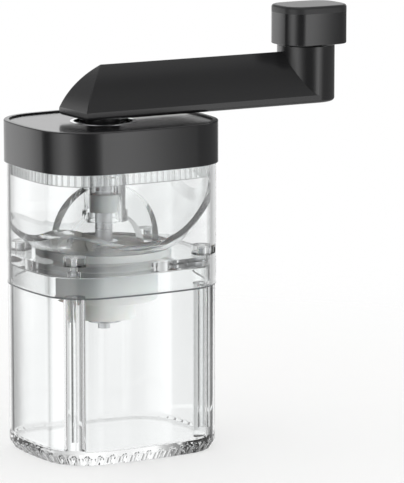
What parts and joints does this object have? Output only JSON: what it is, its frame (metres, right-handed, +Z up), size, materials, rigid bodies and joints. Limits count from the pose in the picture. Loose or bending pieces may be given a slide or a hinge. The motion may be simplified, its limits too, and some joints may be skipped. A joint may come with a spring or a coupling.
{
  "type": "hand crank coffee grinder",
  "caption": "Clear two-part hand coffee mill with rounded square body, black cover, roof-shaped crank arm with block knob, and adjustable conical burrs.",
  "frame": {"origin": "centre of the container's flat base", "axes": "+Z up along the body, +X along the body's longer side and the crank arm at rest"},
  "size_m": [0.1465, 0.067, 0.1734],
  "materials": {
    "clear_plastic": "clear, polished",
    "silicone": "translucent, satin",
    "black_plastic": "satin moulded",
    "grey_plastic": "fine matt",
    "ceramic": "fired, unglazed",
    "steel": "turned",
    "polished_steel": "polished"
  },
  "bodies": {
    "container": {"container": "clear_plastic"},
    "hopper": {"hopper_shell": "clear_plastic", "bean_funnel": "clear_plastic", "mill_plate": "clear_plastic", "plate_screws": "steel", "burr_carrier": "grey_plastic", "ring_burr": "ceramic", "bearing_bridge": "clear_plastic", "lower_bush": "grey_plastic", "upper_bush": "grey_plastic"},
    "shaft": {"drive_shaft": "steel", "shaft_clip": "steel", "spring_washer": "steel", "burr_spring": "steel"},
    "cone": {"cone_burr": "ceramic", "burr_insert": "grey_plastic"},
    "dial": {"adjusting_dial": "grey_plastic", "thumb_nut": "steel"},
    "cover": {"cover": "black_plastic", "cover_eyelet": "polished_steel", "cover_gasket": "silicone"},
    "crank": {"crank_arm": "black_plastic", "drive_socket": "steel", "knob_spindle": "steel", "knob_washer": "grey_plastic"},
    "knob": {"knob": "black_plastic", "knob_cap": "black_plastic"}
  },
  "joints": [
    {"name": "hopper_lift", "type": "slide", "parent": "container", "child": "hopper", "axis": [0, 0, 1], "range_m": [0, 0.04]},
    {"name": "shaft_spin", "type": "hinge", "parent": "hopper", "child": "shaft", "pos_m": [-0.0035, 0, 0.1], "axis": [0, 0, 1], "continuous": true},
    {"name": "crank_lift", "type": "slide", "parent": "shaft", "child": "crank", "axis": [0, 0, 1], "range_m": [0, 0.03]},
    {"name": "cover_lift", "type": "slide", "parent": "hopper", "child": "cover", "axis": [0, 0, 1], "range_m": [0, 0.015]},
    {"name": "knob_spin", "type": "hinge", "parent": "crank", "child": "knob", "pos_m": [0.0907, 0, 0.165], "axis": [0, 0, 1], "continuous": true},
    {"name": "burr_slide", "type": "slide", "parent": "shaft", "child": "cone", "axis": [0, 0, -1], "range_m": [0, 0.0021], "deforming": ["burr_spring"]},
    {"name": "dial_turn", "type": "hinge", "parent": "cone", "child": "dial", "pos_m": [-0.0035, 0, 0.057], "axis": [0, 0, -1], "range_deg": [0, 1082]}
  ],
  "couplings": [
    {"joint": "cover_lift", "follows": "crank_lift", "ratio": 0.5},
    {"joint": "dial_turn", "follows": "burr_slide", "rad_per_m": 8976}
  ]
}
